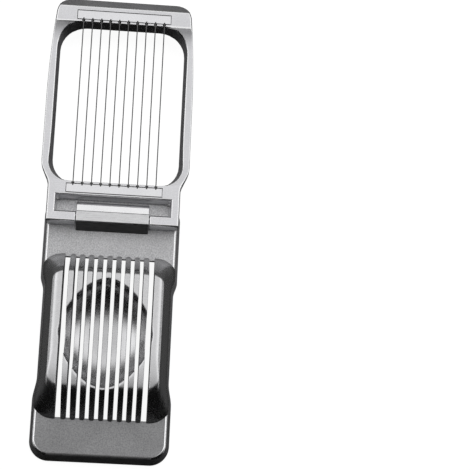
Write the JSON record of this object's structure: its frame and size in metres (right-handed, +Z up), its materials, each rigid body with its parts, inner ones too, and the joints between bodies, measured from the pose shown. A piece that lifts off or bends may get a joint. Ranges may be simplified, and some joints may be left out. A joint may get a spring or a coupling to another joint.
{
  "type": "egg slicer",
  "caption": "Cast metal egg slicer lying open: a slotted cradle with an egg-shaped hollow on a flat base, and a hinged frame strung with cutting wires.",
  "frame": {"origin": "on the surface the feet stand on, under the middle of the open slicer's box", "axes": "+Z up, +Y from the cradle towards the free end of the opened lid, +X to the right seen from the cradle's end"},
  "size_m": [0.0816, 0.2594, 0.034],
  "materials": {
    "cast_aluminium": "fine-grained satin plate with smooth dark cradle",
    "satin_aluminium": "fine-grained satin",
    "pin_steel": "turned, bright",
    "wire_steel": "drawn wire, bright",
    "rubber": "matt"
  },
  "bodies": {
    "base": {"base_casting": "cast_aluminium", "hinge_pin": "pin_steel", "rubber_foot_1": "rubber", "rubber_foot_2": "rubber", "rubber_foot_3": "rubber", "rubber_foot_4": "rubber"},
    "lid": {"lid_frame": "satin_aluminium", "hinge_end_wire_clamp": "satin_aluminium", "free_end_wire_clamp": "satin_aluminium", "clamp_screw_1": "pin_steel", "clamp_screw_2": "pin_steel", "clamp_screw_3": "pin_steel", "clamp_screw_4": "pin_steel", "cutting_wire_01": "wire_steel", "cutting_wire_02": "wire_steel", "cutting_wire_03": "wire_steel", "cutting_wire_04": "wire_steel", "cutting_wire_05": "wire_steel", "cutting_wire_06": "wire_steel", "cutting_wire_07": "wire_steel", "cutting_wire_08": "wire_steel", "cutting_wire_09": "wire_steel", "cutting_wire_10": "wire_steel"}
  },
  "joints": [
    {"name": "lid_hinge", "type": "hinge", "parent": "base", "child": "lid", "pos_m": [0, 0.0026, 0.0181], "axis": [1, 0, 0], "range_deg": [0, 180]}
  ]
}
